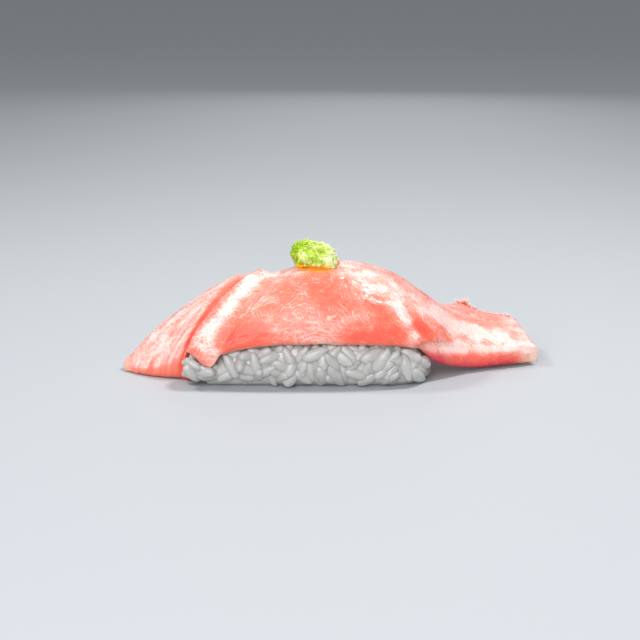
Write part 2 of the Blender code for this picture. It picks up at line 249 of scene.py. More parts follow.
@dataclass
class SliceShape:
    """The draped slice: ribs joined by smooth curves, a fold on the left and a crease on the right."""

    ribs: tuple[Rib, ...] = (
        Rib((-40.6, 1.5, 1.8), (-40.0, -0.6, 1.4), (-39.6, 3.8, 1.4), 0.3, 1.5, (0.1, 1.3)),
        Rib((-34.0, 1.8, 8.5), (-35.8, -3.8, 2.2), (-33.5, 8.0, 3.6), 0.4, 4.6, (0.4, 2.0)),
        Rib((-26.0, 1.5, 14.7), (-31.0, -6.2, 4.2), (-26.5, 11.2, 7.0), 0.5, 5.2, (0.8, 4.0)),
        Rib((-17.5, 1.0, 20.3), (-27.6, -7.2, 7.2), (-20.0, 13.0, 9.2), 0.6, 5.2, (0.9, 6.8)),
        Rib((-10.6, 0.6, 22.6), (-25.9, -8.0, 8.8), (-13.5, 13.8, 9.6), 0.7, 4.8, (0.6, 8.2)),
        Rib((-8.0, 0.3, 21.5), (-24.5, -12.2, 8.1), (-9.4, 14.2, 9.3), 0.9, 4.8, (3.0, 0.9)),
        Rib((-5.0, 0.0, 22.2), (-20.7, -14.0, 5.2), (-5.8, 14.4, 9.2), 1.0, 5.0, (3.0, 0.4)),
        Rib((-2.2, 0.0, 23.4), (-18.0, -14.2, 8.0), (-2.8, 14.4, 9.2), 1.0, 5.0, (3.0, 0.3)),
        Rib((3.0, 0.0, 24.7), (-10.5, -14.3, 9.8), (2.0, 14.4, 9.2), 1.0, 5.0, (3.0, 0.3)),
        Rib((10.0, 0.0, 24.1), (3.5, -14.3, 10.3), (10.0, 14.5, 9.6), 1.0, 5.0, (3.0, 0.3)),
        Rib((18.0, 0.8, 21.6), (15.0, -13.8, 10.0), (18.0, 14.8, 9.4), 1.0, 5.0, (3.0, 0.4)),
        Rib((24.4, 2.3, 17.3), (23.2, -12.2, 9.1), (25.0, 15.4, 9.7), 0.9, 5.0, (3.0, 0.7)),
        Rib((28.0, 3.4, 14.3), (27.4, -9.2, 9.2), (29.5, 15.9, 9.7), 0.6, 5.6, (4.4, 5.6)),
        Rib((31.6, 5.0, 11.7), (30.6, -5.4, 7.4), (33.6, 16.2, 11.5), 0.3, 6.0, (0.8, 4.9)),
        Rib((38.0, 8.0, 9.0), (37.0, -0.6, 5.8), (39.0, 16.8, 9.8), 0.1, 5.6, (0.3, 4.9)),
        Rib((48.6, 10.5, 6.7), (50.3, 4.0, 5.1), (47.3, 17.0, 7.7), 0.1, 4.4, (0.3, 4.2)),
    )
    valley_at: float = 0.335
    valley_width: float = 0.022
    valley_depth: float = 1.2
    ridge_at: float = 0.385
    ridge_width: float = 0.026
    ridge_height: float = 0.8
    crease_at: float = 0.745
    crease_width: float = 0.018
    crease_depth: float = 0.7
    rear_tuck: float = 3.0
    rear_thinning: float = 0.92
    edge_bulge: float = 0.22
    floor_clearance: float = 0.05
    wave_height: float = 0.3
    wave_length: float = 13.0

    def __post_init__(self) -> None:
        """Measures each rib's place along the crest, and keeps each section once it is worked out."""
        self.places = [0.0]
        for last, rib in zip(self.ribs, self.ribs[1:]):
            self.places.append(self.places[-1] + (Vector(rib.crest) - Vector(last.crest)).length)
        self.length = self.places[-1]
        self.places = [place / self.length for place in self.places]
        self.rows = [rib.numbers() for rib in self.ribs]
        self.station = lru_cache(maxsize=None)(self.station)
        self.drape = lru_cache(maxsize=None)(self.drape)
        self.facing = lru_cache(maxsize=None)(self.facing)

    def slope(self, j: int) -> Vector:
        """Returns how fast a rib's numbers change along the crest."""
        low, high = max(j - 1, 0), min(j + 1, len(self.rows) - 1)
        return (self.rows[high] - self.rows[low]) / (self.places[high] - self.places[low])

    def station(self, s: float) -> Station:
        """Returns the section at a share of the crest's length, on a smooth curve through all the ribs."""
        last = len(self.rows) - 1
        i = min(max(j for j in range(last) if self.places[j] <= s or j == 0), last - 1)
        span = self.places[i + 1] - self.places[i]
        u = (s - self.places[i]) / span
        row = hermite(self.rows[i], self.rows[i + 1], self.slope(i) * span, self.slope(i + 1) * span, u)
        return Station(
            Vector(row[0:3]), Vector(row[3:6]), Vector(row[6:9]), row[9], row[10], Vector((row[11], row[12]))
        )

    def drape(self, s: float, t: float) -> Vector:
        """Works out the smooth upper face.

        Args:
            s: The share of the crest's length.
            t: From -1 at the front hem to 1 at the rear hem.

        Returns:
            The point there, without the fold, the crease and the waves.
        """
        here = self.station(s)
        hem, way = (here.rear, 1) if t > 0 else (here.front, -1)
        reach = hem - here.crest
        swell = 1 + 0.57 * here.fullness
        over = (here.rear - here.front) / 2 * way
        leaving = Vector((reach.x, over.y * swell, over.z))
        arriving = Vector((reach.x, reach.y * (1 - here.fullness), reach.z * swell))
        return hermite(here.crest, hem, leaving, arriving, abs(t))

    def facing(self, s: float, t: float) -> Vector:
        """Returns the upper face's outward direction at a share along and a share across."""
        step = 0.004
        s = min(max(s, step), 1 - step)
        t = min(max(t, step - 1), 1 - step)
        run = self.drape(s + step, t) - self.drape(s - step, t)
        across = self.drape(s, t + step) - self.drape(s, t - step)
        return run.cross(across).normalized()

    def relief(self, s: float, t: float) -> float:
        """Returns how far the fold, the crease and the slow waves lift the upper face, in millimetres."""
        front = rise(-t, -0.45, 0.55)
        valley = self.valley_depth * (0.25 + 0.75 * front) * rise(-t, -0.9, 0.1)
        lift = self.ridge_height * front * bell(s - self.ridge_at, self.ridge_width)
        lift -= valley * bell(s - self.valley_at, self.valley_width)
        lift -= self.crease_depth * rise(-t, 0.35, 0.8) * bell(s - self.crease_at, self.crease_width)
        return lift + self.wave_height * noise.noise(self.drape(s, t) / self.wave_length)

    def span(self, s: float, t: float) -> float:
        """Returns how far the front or the rear hem is from the crest."""
        here = self.station(s)
        return ((here.front if t < 0 else here.rear) - here.crest).length

    def cut_edge(self, s: float, t: float) -> Vector:
        """Returns the way down the cut edge at the front or the rear hem."""
        here = self.station(s)
        if t < 0:
            return Vector((0.0, here.cut.x, -here.cut.y))
        thin = 1 - self.rear_thinning * here.fullness
        return Vector((0.0, -self.rear_tuck * here.fullness, -here.thick * thin))

    def point(self, s: float, t: float, depth: float) -> Vector:
        """Works out a point of the slice.

        Args:
            s: The share of the crest's length.
            t: From -1 at the front hem to 1 at the rear hem.
            depth: From 0 on the upper face to 1 on the lower face.

        Returns:
            The point, in millimetres.
        """
        here = self.station(s)
        edge = rise(abs(t), 0.3, 1.0)
        face = self.facing(s, t)
        inward = -face.lerp(Vector((0.0, 0.0, 1.0)), 1 - here.fullness).normalized()
        through = inward * here.thick * (1 - edge) + self.cut_edge(s, t) * edge
        point = self.drape(s, t) + face * self.relief(s, t) + through * depth
        point.z = max(point.z, self.floor_clearance)
        return point

    def edge_way(self, s: float, t: float) -> Vector:
        """Returns the direction in which the slice ends at a point of its outline."""
        step = 0.02
        inner = self.drape(min(max(s, step), 1 - step), min(max(t, step - 1), 1 - step))
        return (self.drape(s, t) - inner).normalized()


def hermite(start: Vector, end: Vector, leaving: Vector, arriving: Vector, u: float) -> Vector:
    """Returns the point at share u of the cubic with these ends and these tangents."""
    u2, u3 = u * u, u * u * u
    blend = start * (2 * u3 - 3 * u2 + 1)
    blend += leaving * (u3 - 2 * u2 + u)
    blend += end * (3 * u2 - 2 * u3)
    blend += arriving * (u3 - u2)
    return blend


@dataclass(frozen=True)
class Flesh:
    """What one place of the slice is like, each from 0 to 1."""

    fat: float
    lean: float
    pink: float = 0.0
    cream: float = 0.0
    stain: float = 0.0
    calm: float = 0.0


@dataclass(frozen=True)
class RawTuna:
    """Raw fatty tuna: lean red flesh under a web of white fat, cut with a wet knife, so it is moist."""

    # The wet cut lets light in, so the red glows, the fat looks milky and a thin film of water glints.
    base: str = "F4745C"
    deep: str = "F0523E"
    # The deep pink of the cut under the right end's lip is painted shade, with the glow of light through the
    # flesh.
    pink: str = "E8384E"
    fat: str = "F7ABA0"
    # The white of solid fat; on the fold's ridge and along the right end's front band it is also a painted
    # highlight.
    white: str = "F9D5CE"
    line: str = "F7B2A4"
    stain: str = "F9A233"
    cream: str = "FDDDC4"
    solid_fat_and_sheen: Step = (0.45, 0.95)
    solid_fat_and_sheen_share: float = 0.45
    pale_fat_and_glint: Step = (0.3, 0.8)
    cover: Step = (0.43, 0.60)
    cover_share: float = 0.9
    more_by_fat: float = 0.40
    less_by_calm: float = 0.45
    grit_per_mm: float = 2.2
    patches_per_mm: float = 0.55
    thread_height: float = 0.07
    film_height: float = 0.05

    def tone(self, flesh: Flesh) -> Vector:
        """Mixes the colour between the fat threads, as linear light."""
        colour = Vector(linear(self.base))
        steps = (
            (self.deep, flesh.lean),
            (self.pink, flesh.pink),
            (self.fat, 0.9 * flesh.fat),
            # White fat and painted highlight: where the fat is most, the colour turns white.
            (self.white, self.solid_fat_and_sheen_share * rise(flesh.fat, *self.solid_fat_and_sheen)),
            (self.cream, flesh.cream),
            (self.stain, flesh.stain),
        )
        for other, share in steps:
            colour = colour.lerp(Vector(linear(other)), share)
        return colour

    def paint(self, vert: bmesh.types.BMVert, layers: tuple[Layer, Layer], flesh: Flesh) -> None:
        """Gives a vertex its flesh, in the mesh's layers for the tone and for the web of fat."""
        vert[layers[0]] = (*self.tone(flesh)[:3], 1.0)
        calm = max(flesh.calm, 0.6 * flesh.lean)
        vert[layers[1]] = (flesh.fat, calm, rise(flesh.fat, *self.pale_fat_and_glint), 1.0)

    def material(self) -> bpy.types.Material:
        """Builds the flesh: its painted tone under hair-fine threads of fat, which stand up and glisten;
        where the fat is thick the threads are painted white, which also paints wet glints.
        """
        values = {
            "IOR": 1.4,
            "Subsurface Weight": 0.4,
            "Subsurface Radius": (1.0, 0.42, 0.3),
            "Subsurface Scale": 1.2 * MM,
            "Coat Weight": 0.5,
            "Coat Roughness": 0.1,
            "Coat IOR": 1.4,
        }
        material, tree, shader = new_material("raw_fatty_tuna", values)
        place = add_node(tree, "Attribute", "Vector", {"attribute_name": "weave"})
        tone = add_node(tree, "Attribute", "Color", {"attribute_name": "tone"})
        web = add_node(tree, "Attribute", "Color", {"attribute_name": "web"})
        web = add_node(tree, "SeparateColor", "Red", {}, {"Color": web}).node.outputs
        threads = self.threads(tree, place)
        level = add_node(tree, "Math", 0, ADD, {0: web["Red"], 1: self.more_by_fat, 2: threads})
        level = add_node(tree, "Math", 0, ADD, {0: web["Green"], 1: -self.less_by_calm, 2: level})
        low, high = self.cover
        limits = {"Value": level, "From Min": low, "From Max": high, "To Max": self.cover_share}
        cover = add_node(tree, "MapRange", "Result", {"interpolation_type": "SMOOTHSTEP"}, limits)
        # Where the fat is thick the threads turn white: white fat, and also painted glints.
        line, white = linear(self.line), linear(self.white)
        paler = add_node(tree, "Mix", "Result", MIX, {"Factor": web["Blue"], "A": line, "B": white})
        colour = add_node(tree, "Mix", "Result", MIX, {"Factor": cover, "A": tone, "B": paler})
        # The film of water lies in beads and breaks of about half a millimetre, so it shines unevenly.
        beads = {"Vector": place, "Scale": self.grit_per_mm, "Detail": 3.0}
        grit = add_node(tree, "TexNoise", "Fac", {}, beads)
        limits = {"Value": grit, "From Min": 0.35, "From Max": 0.65, "To Min": 0.08, "To Max": 0.36}
        rough = add_node(tree, "MapRange", "Result", {}, limits)
        height = add_node(tree, "Math", 0, ADD, {0: grit, 1: 1.6, 2: threads})
        bump = add_node(tree, "Bump", "Normal", {}, {"Distance": self.thread_height * MM, "Height": height})
        wet = add_node(tree, "Bump", "Normal", {}, {"Distance": self.film_height * MM, "Height": grit})
        ends = {"Base Color": colour, "Roughness": rough, "Normal": bump, "Coat Normal": wet}
        for socket, value in ends.items():
            tree.links.new(value, shader.inputs[socket])
        return material

    def threads(self, tree: bpy.types.NodeTree, place: Socket) -> Socket:
        """Makes the fat between the muscle's sheets: four sets of bent threads, about 0.7 to 1 mm apart.

        The real threads are closer, and are drawn this coarse so that they show.

        Args:
            tree: The material's node tree.
            place: Where on the surface, in millimetres: along, across, and away from the middle.

        Returns:
            A level that is highest on the threads, and falls away between them and where a thread tapers off.
        """
        # For each set: threads a millimetre each way, bends a millimetre, how far they bend, and its place.
        sets = (
            ((1.00, 0.40, 0.0), 0.20, 5.0, 11.0),
            ((0.0, 1.05, 0.70), 0.22, 5.0, 37.0),
            ((0.25, 0.85, 1.00), 0.17, 5.4, 53.0),
            ((0.45, -1.15, 0.50), 0.32, 4.6, 71.0),
        )
        highest: Socket | float = -1.0
        for way, bends_per_mm, swing, seed in sets:
            moved = add_node(
                tree, "VectorMath", "Vector", {"operation": "ADD"}, {0: place, 1: (seed, seed, seed)}
            )
            turns = {"Vector": moved, "Scale": bends_per_mm, "Roughness": 0.45}
            bend = add_node(tree, "TexNoise", "Fac", {}, turns)
            patches = {"Vector": moved, "Scale": self.patches_per_mm}
            patch = add_node(tree, "TexNoise", "Fac", {}, patches)
            even = add_node(tree, "VectorMath", "Value", {"operation": "DOT_PRODUCT"}, {0: place, 1: way})
            level = add_node(tree, "Math", 0, ADD, {0: bend, 1: swing, 2: even})
            away = add_node(tree, "Math", 0, {"operation": "PINGPONG"}, {0: level, 1: 0.5})
            level = add_node(tree, "Math", 0, ADD, {0: away, 1: -2.0, 2: patch})
            highest = add_node(tree, "Math", 0, {"operation": "MAXIMUM"}, {0: level, 1: highest})
        return highest


@dataclass(frozen=True)
class Band:
    """A part of the slice's flesh, between smooth steps along it, across it and through it."""

    start: Step = ALWAYS
    end: Step = ALWAYS
    across: Step = ALWAYS
    wall: Step = ALWAYS

    def share(self, s: float, t: float, depth: float) -> float:
        """Returns from 0 to 1 how much of the band is at a place."""
        return rise(s, *self.start) * rise(s, *self.end) * rise(t, *self.across) * rise(depth, *self.wall)


@dataclass(frozen=True)
class Marks:
    """The bands of the flesh, each named for what it shows, and the juice's stain in millimetres."""

    tip: Band = Band((0.07, 0.0))
    pale_tip: Band = Band((0.04, 0.0))
    # Painted shade: the groove beside the fold is coloured deeper red and plainer.
    shaded_groove: Band = Band(across=(0.2, -0.4))
    skin: Band = Band(wall=(0.4, 0.0))
    wall: Band = Band(wall=(0.0, 0.3))
    under: Band = Band(wall=(0.35, 1.0))
    far_side: Band = Band((0.80, 0.86), across=(0.25, 0.9))
    torn_rim: Band = Band((0.80, 0.86), across=(0.78, 0.95))
    blunt_end: Band = Band((0.955, 1.0), wall=(0.0, 0.4))
    # Painted light: the front hem is painted creamy to lift the shade along it.
    hem: Band = Band((0.42, 0.46), (0.70, 0.66), (-0.94, -1.0), (0.0, 0.6))
    # Painted shade: the cut under the lip, coloured deep pink.
    lip: Band = Band((0.735, 0.755), (0.83, 0.785), FRONT, (0.1, 0.4))
    foot: Band = Band((0.80, 0.84), (0.98, 0.94), FRONT, (0.5, 0.95))
    cut: Band = Band((0.78, 0.84), (0.985, 0.95), FRONT, (0.12, 0.35))
    edge: Band = Band((0.78, 0.84), across=(-0.86, -1.0))
    corner: Band = Band((0.93, 0.97), across=(0.95, 0.7))
    left_fade: Step = (0.0, 0.05)
    edge_depth: float = 0.12
    stain_middle: Step = (1.6, -3.2)
    stain_half: Step = (4.8, 2.6)
    stain_fade: Step = (1.25, 0.6)
    stain_level: Step = (18.0, 22.0)
    creamy_front: Step = (8.0, 4.0)


@dataclass
class TunaSlice:
    """The slice of fatty tuna, draped over the rice, with torn fibres along its far right edge."""

    shape: SliceShape = field(default_factory=SliceShape)
    finish: RawTuna = RawTuna()
    marks: Marks = Marks()
    along: int = 330
    across: int = 130
    rings: int = 8
    rounding: float = 0.5
    edge_drop: float = 0.3
    rim_weave: float = 2.2
    fan_at: float = 4.0
    fan_width: float = 5.0
    fibre_height: float = 0.14
    calm_crease: float = 0.05
    fibres: int = 170
    fibre_along: Step = (0.80, 0.995)
    fibre_across: Step = (0.93, 1.0)
    fibre_length: float = 3.2
    fibre_thick: Step = (0.12, 0.26)
    clump_size: float = 1.2
    tuft_width: float = 1.5
    tufts: tuple[Step, ...] = ((35.4, 0.48), (37.6, 0.2), (43.8, 0.3))
    seed: int = 3
    # In the front view, what is nearer lies lower by the tangent of the camera's 15 degrees.
    view_slope: float = 0.268
    turned: Step = (0.0, 0.2)
    # Clouds of fat for each millimetre along and across.
    clouds: Step = (0.3, 0.45)
    lean_patches: tuple[Patch, ...] = (
        Patch((-16.0, 7.6), (-11.5, 8.6), 2.6, 0.9),
        Patch((3.5, 16.5), (6.5, 17.0), 3.4, 0.4),
        Patch((-4.0, 19.0), (3.0, 19.6), 2.0, 0.15),
        Patch((10.0, 8.0), (18.0, 8.4), 2.2, 0.6),
        Patch((22.6, 10.5), (25.2, 8.6), 1.3, 0.8),
        Patch((13.5, 15.5), (16.0, 12.0), 1.5, 0.4),
    )
    # Fat patches, some of which are painted highlights: the wet shine on the fold's ridge, the right shoulder
    # and the right end's front band is painted as white fat.
    fat_and_highlight_patches: tuple[Patch, ...] = (
        # White fat and painted highlight along the fold's ridge.
        Patch((-12.5, 19.5), (-21.0, 9.0), 1.4, 0.9),
        Patch((-22.0, 8.0), (-20.0, 3.0), 2.4, 0.5),
        Patch((-13.0, 20.8), (-3.0, 22.0), 1.6, 0.5),
        # White fat and painted highlights on the right shoulder, down to the saddle.
        Patch((8.0, 23.2), (28.0, 13.0), 2.4, 0.55),
        Patch((18.5, 14.5), (22.5, 8.5), 1.2, 0.7),
        Patch((-1.0, 10.0), (3.0, 8.0), 3.2, 0.3),
        Patch((27.6, 13.0), (31.7, 9.9), 1.5, 0.5),
        # White fat and painted highlight: the white band along the right end's front.
        Patch((31.7, 10.2), (36.7, 8.8), 1.7, 0.9),
        Patch((36.7, 8.8), (43.0, 7.6), 1.4, 0.9),
        Patch((25.0, 5.6), (34.0, 5.8), 1.1, 0.6),
        Patch((32.0, 5.8), (48.0, 5.2), 1.0, 0.5),
    )

    def flesh_at(self, s: float, t: float, depth: float, point: Vector) -> Flesh:
        """Works out what the flesh is like.

        Args:
            s: The share of the slice's length.
            t: From -1 at the front hem to 1 at the rear hem.
            depth: From 0 on the upper face to 1 on the lower face.
            point: The point itself, in millimetres.

        Returns:
            The flesh there.
        """
        marks, shape, at = self.marks, self.shape, (s, t, depth)
        fat, lean = self.patched(s, t, point)
        # The left end is fatter; the groove beside the fold is painted deeper red, as painted shade.
        left = rise(shape.valley_at - s, *marks.left_fade)
        shaded_groove = bell(s - shape.valley_at, 0.8 * shape.valley_width) * marks.shaded_groove.share(*at)
        fat = (fat + 0.5 * left * marks.skin.share(*at)) * (1 - shaded_groove)
        # The far side of the right end is leaner, its torn rim redder still, and the lower face has less fat.
        far, rim, under = (band.share(*at) for band in (marks.far_side, marks.torn_rim, marks.under))
        fat = fat * (1 - 0.6 * far) + 0.18 * far * (1 - rim)
        fat *= (1 - 0.6 * marks.tip.share(*at)) * (1 - 0.75 * under)
        lean += 0.7 * shaded_groove + 0.25 * far + 0.65 * rim + 0.3 * under
        # The dab's juice colours the fish in front of it.
        (x, y), (half_x, half_y) = marks.stain_middle, marks.stain_half
        away = math.hypot((point.x - x) / half_x, (point.y - y) / half_y)
        stain = 0.8 * rise(away, *marks.stain_fade) * rise(point.z, *marks.stain_level)
        # The pointed tip and the blunt end's cut are creamy; the front hem is painted creamy too, painted
        # light that lifts the shade along the hem.
        cream = 0.9 * marks.blunt_end.share(*at) * rise(point.y, *marks.creamy_front)
        cream += 0.5 * marks.pale_tip.share(*at) + 0.4 * marks.hem.share(*at)
        # The cut under the lip is painted deep pink, painted shade with the glow of light through the flesh;
        # the right end's foot is pink too, under a pale edge with a fat corner.
        pink = marks.lip.share(*at) + 0.85 * marks.foot.share(*at)
        fat *= 1 - 0.7 * min(pink, 1.0)
        cut = marks.cut.share(*at)
        edge = bell(depth, marks.edge_depth) * marks.edge.share(*at)
        fat += 0.25 * edge - 0.2 * cut + 0.4 * marks.corner.share(*at) * (1 - under)
        lean += 0.2 * cut
        pink += 0.25 * cut
        return Flesh(
            fat=min(max(fat, 0.0), 1.0),
            lean=min(max(lean, 0.0), 1.0),
            pink=min(pink, 1.0),
            cream=min(cream, 1.0),
            stain=stain,
            calm=max(stain, left * marks.wall.share(*at), 0.6 * pink, 0.8 * shaded_groove),
        )

    def patched(self, s: float, t: float, point: Vector) -> tuple[float, float]:
        """Returns how fat and how lean a place is by the patches and the clouds of fat, before the bands; the
        fat includes painted highlights.
        """
        over = 1 - 2 * self.shape.station(s).fullness * rise(t, *self.turned)
        up = point.z + self.view_slope * point.y * over
        lean = sum(patch.weight(point.x, up) for patch in self.lean_patches)
        fat = sum(patch.weight(point.x, up) for patch in self.fat_and_highlight_patches)
        spot = Vector((point.x * self.clouds[0], t * self.shape.span(s, t) * self.clouds[1], 4.0))
        clouds = noise.noise(spot) + 0.6 * noise.noise(spot * 2.3)
        return fat - 0.65 * lean + 0.12 + 0.4 * clouds, lean

    def build(self) -> None:
        """Lays a fine grid over the ribs, extrudes it to the lower face and rounds the cut edge."""
        bm = bmesh.new()
        bmesh.ops.create_grid(bm, x_segments=self.along, y_segments=self.across, size=1)
        grown = bmesh.ops.extrude_face_region(bm, geom=bm.faces[:])["geom"]
        upper = {item for item in grown if isinstance(item, bmesh.types.BMVert)}
        walls = [edge for edge in bm.edges if (edge.verts[0] in upper) != (edge.verts[1] in upper)]
        for vert in upper:
            vert.co.z = 1.0
        bmesh.ops.subdivide_edges(bm, edges=walls, cuts=self.rings - 1)
        weave = bm.verts.layers.float_vector.new("weave")
        tone = bm.verts.layers.float_color.new("tone")
        web = bm.verts.layers.float_color.new("web")
        for vert in bm.verts:
            s = round(0.5 + 0.5 * closer_at_ends(vert.co.x), 6)
            t = closer_at_ends(vert.co.y)
            depth = 1 - vert.co.z
            point = self.shape.point(s, t, depth)
            thickness = (self.shape.point(s, t, 0) - self.shape.point(s, t, 1)).length
            down = depth * thickness
            rim = [down if abs(a) == 1 else 0.0 for a in (2 * s - 1, t)]
            along = point.x + math.copysign(rim[0], s - 0.5)
            across = t * self.shape.span(s, t) + math.copysign(rim[1] * self.rim_weave, t)
            away = math.hypot(along - self.fan_at, self.fan_width) + (0.0 if any(rim) else down)
            vert[weave] = Vector((along, across, away))
            self.finish.paint(vert, (tone, web), self.flesh_at(s, t, depth, point))
            vert.co = self.textured(s, t, depth, point)
        material = self.finish.material()
        self.tear(material)
        finish_piece("marbled_tuna", bm, material, Piece.SLICE)

    def tear(self, material: bpy.types.Material) -> None:
        """Sets the torn fibres that stand up along the far edge of the right end, in the flesh's finish."""
        rng = random.Random(self.seed)
        bm = bmesh.new()
        weave = bm.verts.layers.float_vector.new("weave")
        tone = bm.verts.layers.float_color.new("tone")
        web = bm.verts.layers.float_color.new("web")
        for _ in range(self.fibres):
            s = rng.uniform(*self.fibre_along)
            t = rng.uniform(*self.fibre_across)
            place = self.textured(s, t, 0, self.shape.point(s, t, 0)) - Vector((0.0, 0.0, 0.1))
            clump = 0.12 + 0.4 * rise(noise.noise(Vector((place.x / self.clump_size, 3.1, 0.0))), -0.1, 0.5)
            clump += max(high * bell(place.x - at, self.tuft_width) for at, high in self.tufts)
            tall = self.fibre_length * clump * rng.uniform(0.3, 1.0) * (1 - 0.4 * rise(s, 0.86, 0.98))
            thick = rng.uniform(*self.fibre_thick)
            start = len(bm.verts)
            bmesh.ops.create_cone(
                bm, cap_ends=True, cap_tris=True, segments=7, radius1=thick, radius2=0.15 * thick, depth=1.0
            )
            bm.verts.ensure_lookup_table()
            way = Vector((rng.uniform(-0.7, 0.7), rng.uniform(-0.3, 0.5), 1.0)).normalized()
            turn = way.to_track_quat("Z", "Y").to_matrix()
            for vert in bm.verts[start:]:
                up = vert.co.z + 0.5
                vert.co = place + turn @ Vector((vert.co.x, vert.co.y, up * tall))
                vert[weave] = Vector((vert.co.x, 20.0 + up, vert.co.x - self.fan_at))
                flesh = Flesh(fat=up, lean=0.8 - 0.8 * up, cream=0.4 * up, calm=0.6)
                self.finish.paint(vert, (tone, web), flesh)
        finish_piece("torn_fibres", bm, material, Piece.SLICE)

    def textured(self, s: float, t: float, depth: float, point: Vector) -> Vector:
        """Rounds the cut edge's corners, and adds the low relief of the muscle fibres.

        Args:
            s: The share of the slice's length.
            t: From -1 at the front hem to 1 at the rear hem.
            depth: From 0 on the upper face to 1 on the lower face.
            point: The smooth point, in millimetres.

        Returns:
            The point with its relief.
        """
        if depth == 1:
            return self.clear(point)
        face = self.shape.facing(s, t)
        radius = self.rounding * self.shape.cut_edge(s, t).length
        along, across = point.x, t * self.shape.span(s, t)
        fibre = Vector((along / 4.0 + across / 6.0, across / 1.1 - along / 4.0, depth * 3))
        lift = self.fibre_height * noise.noise(fibre)
        lift += self.fibre_height * noise.noise(Vector((along / 1.2, across / 2.0, 7.0)))
        lift *= 1 - 0.8 * bell(s - self.shape.crease_at, self.calm_crease)
        if depth > 0:
            length = (self.shape.point(s, t, 1) - self.shape.point(s, t, 0)).length
            bulge = self.shape.edge_bulge * (1 - 0.7 * rise(s, 0.9, 1.0)) * length
            swell = math.sin(depth * math.pi)
            point = point + self.shape.edge_way(s, t) * (bulge * swell**0.75 + 2 * lift * swell)
            return self.clear(point + face * (lift - self.edge_drop * radius) * (1 - depth) ** 2)
        inside = min(s * self.shape.length, (1 - s) * self.shape.length, (1 - abs(t)) * self.shape.span(s, t))
        near = max(1 - inside / radius, 0.0)
        return self.clear(point + face * (lift - self.edge_drop * radius * near * near))

    def clear(self, point: Vector) -> Vector:
        """Keeps a point above the surface that the nigiri rests on."""
        return Vector((point.x, point.y, max(point.z, self.shape.floor_clearance)))


@dataclass(frozen=True)
class BoiledRice:
    """Boiled short-grain rice: swollen with water, so it is milky, lets light through and shines softly."""

    # The greys are darker than the rice's own white: painted shade, for the rice that lies in the slice's
    # shade.
    body: str = "B6B5B2"
    pale: str = "BFBEBB"
    shade: str = "ABAAA7"
    patches_per_mm: float = 0.6

    def material(self) -> bpy.types.Material:
        """Builds the rice: milky patches a millimetre or two across, and a soft sticky shine."""
        values = {
            "Roughness": 0.32,
            "IOR": 1.41,
            "Subsurface Weight": 0.4,
            "Subsurface Radius": (1.0, 0.97, 0.94),
            "Subsurface Scale": 0.7 * MM,
            "Coat Weight": 0.5,
            "Coat Roughness": 0.12,
        }
        material, tree, shader = new_material("boiled_short_grain_rice", values)
        place = add_node(tree, "TexCoord", "Object")
        cloudy = add_node(tree, "TexNoise", "Fac", {}, {"Vector": place, "Scale": self.patches_per_mm / MM})
        tone = add_node(tree, "Attribute", "Fac", {"attribute_name": "tone"})
        colour = add_node(
            tree, "Mix", "Result", MIX, {"Factor": tone, "A": linear(self.shade), "B": linear(self.pale)}
        )
        milky = add_node(
            tree, "MapRange", "Result", {}, {"Value": cloudy, "From Min": 0.45, "From Max": 0.65}
        )
        colour = add_node(tree, "Mix", "Result", MIX, {"Factor": milky, "A": colour, "B": linear(self.body)})
        tree.links.new(colour, shader.inputs["Base Color"])
        bump = add_node(
            tree, "Bump", "Normal", {}, {"Strength": 0.25, "Distance": 0.2 * MM, "Height": cloudy}
        )
        tree.links.new(bump, shader.inputs["Normal"])
        return material


